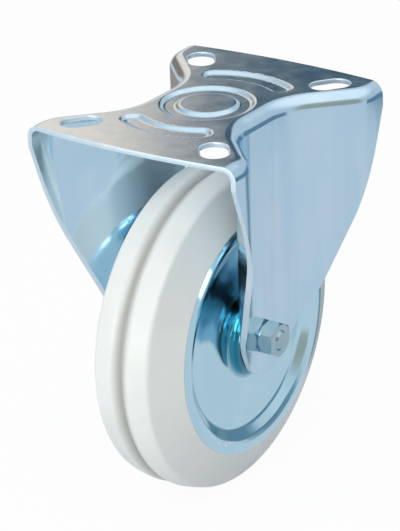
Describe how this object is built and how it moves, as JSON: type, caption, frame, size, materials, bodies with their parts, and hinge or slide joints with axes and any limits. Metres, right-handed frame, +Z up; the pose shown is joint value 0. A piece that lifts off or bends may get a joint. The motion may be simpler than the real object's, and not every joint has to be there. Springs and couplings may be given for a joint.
{
  "type": "fixed industrial castor",
  "caption": "Fixed top-plate castor: a pressed sheet fork carries a pale tyre on two pressed rim discs that turn on a caged roller bearing.",
  "frame": {"origin": "centre of the mounting face, on top of the plate", "axes": "+Z up out of the mounting face, +X along the rolling direction towards the front, +Y along the axle towards the nut"},
  "size_m": [0.1298, 0.0936, 0.1574],
  "materials": {
    "zinc": "bright blue-passivated zinc plate on pressed steel, glossy",
    "rim": "bright blue zinc plate with a stronger teal tint, glossy",
    "tyre": "ivory non-marking rubber, semi-gloss",
    "bearing_steel": "ground steel, lightly oiled",
    "nylon": "natural moulded nylon, matt"
  },
  "bodies": {
    "frame": {"bracket": "zinc", "axle_sleeve": "bearing_steel", "hub_washer_left": "zinc", "hub_washer_right": "zinc", "axle_bolt": "zinc", "axle_nut": "zinc"},
    "wheel": {"tyre": "tyre", "rim_disc_left": "rim", "rim_disc_right": "rim", "hub_tube": "bearing_steel"},
    "cage": {"roller_cage": "nylon"},
    "roller_1": {"roller_1": "bearing_steel"},
    "roller_2": {"roller_2": "bearing_steel"},
    "roller_3": {"roller_3": "bearing_steel"},
    "roller_4": {"roller_4": "bearing_steel"},
    "roller_5": {"roller_5": "bearing_steel"},
    "roller_6": {"roller_6": "bearing_steel"},
    "roller_7": {"roller_7": "bearing_steel"},
    "roller_8": {"roller_8": "bearing_steel"},
    "roller_9": {"roller_9": "bearing_steel"}
  },
  "joints": [
    {"name": "wheel_spin", "type": "hinge", "parent": "frame", "child": "wheel", "pos_m": [0, 0, -0.0925], "axis": [0, 1, 0], "continuous": true},
    {"name": "cage_spin", "type": "hinge", "parent": "frame", "child": "cage", "pos_m": [0, 0, -0.0925], "axis": [0, 1, 0], "continuous": true},
    {"name": "roller_1_spin", "type": "hinge", "parent": "cage", "child": "roller_1", "pos_m": [0.00825, 0, -0.0925], "axis": [0, 1, 0], "continuous": true},
    {"name": "roller_2_spin", "type": "hinge", "parent": "cage", "child": "roller_2", "pos_m": [0.00632, 0, -0.0978], "axis": [0, 1, 0], "continuous": true},
    {"name": "roller_3_spin", "type": "hinge", "parent": "cage", "child": "roller_3", "pos_m": [0.00143, 0, -0.10062], "axis": [0, 1, 0], "continuous": true},
    {"name": "roller_4_spin", "type": "hinge", "parent": "cage", "child": "roller_4", "pos_m": [-0.00413, 0, -0.09964], "axis": [0, 1, 0], "continuous": true},
    {"name": "roller_5_spin", "type": "hinge", "parent": "cage", "child": "roller_5", "pos_m": [-0.00775, 0, -0.09532], "axis": [0, 1, 0], "continuous": true},
    {"name": "roller_6_spin", "type": "hinge", "parent": "cage", "child": "roller_6", "pos_m": [-0.00775, 0, -0.08968], "axis": [0, 1, 0], "continuous": true},
    {"name": "roller_7_spin", "type": "hinge", "parent": "cage", "child": "roller_7", "pos_m": [-0.00413, 0, -0.08536], "axis": [0, 1, 0], "continuous": true},
    {"name": "roller_8_spin", "type": "hinge", "parent": "cage", "child": "roller_8", "pos_m": [0.00143, 0, -0.08438], "axis": [0, 1, 0], "continuous": true},
    {"name": "roller_9_spin", "type": "hinge", "parent": "cage", "child": "roller_9", "pos_m": [0.00632, 0, -0.0872], "axis": [0, 1, 0], "continuous": true}
  ],
  "couplings": [
    {"joint": "cage_spin", "follows": "wheel_spin", "ratio": 0.63636},
    {"joint": "roller_1_spin", "follows": "wheel_spin", "ratio": 1.697},
    {"joint": "roller_2_spin", "follows": "wheel_spin", "ratio": 1.697},
    {"joint": "roller_3_spin", "follows": "wheel_spin", "ratio": 1.697},
    {"joint": "roller_4_spin", "follows": "wheel_spin", "ratio": 1.697},
    {"joint": "roller_5_spin", "follows": "wheel_spin", "ratio": 1.697},
    {"joint": "roller_6_spin", "follows": "wheel_spin", "ratio": 1.697},
    {"joint": "roller_7_spin", "follows": "wheel_spin", "ratio": 1.697},
    {"joint": "roller_8_spin", "follows": "wheel_spin", "ratio": 1.697},
    {"joint": "roller_9_spin", "follows": "wheel_spin", "ratio": 1.697}
  ]
}
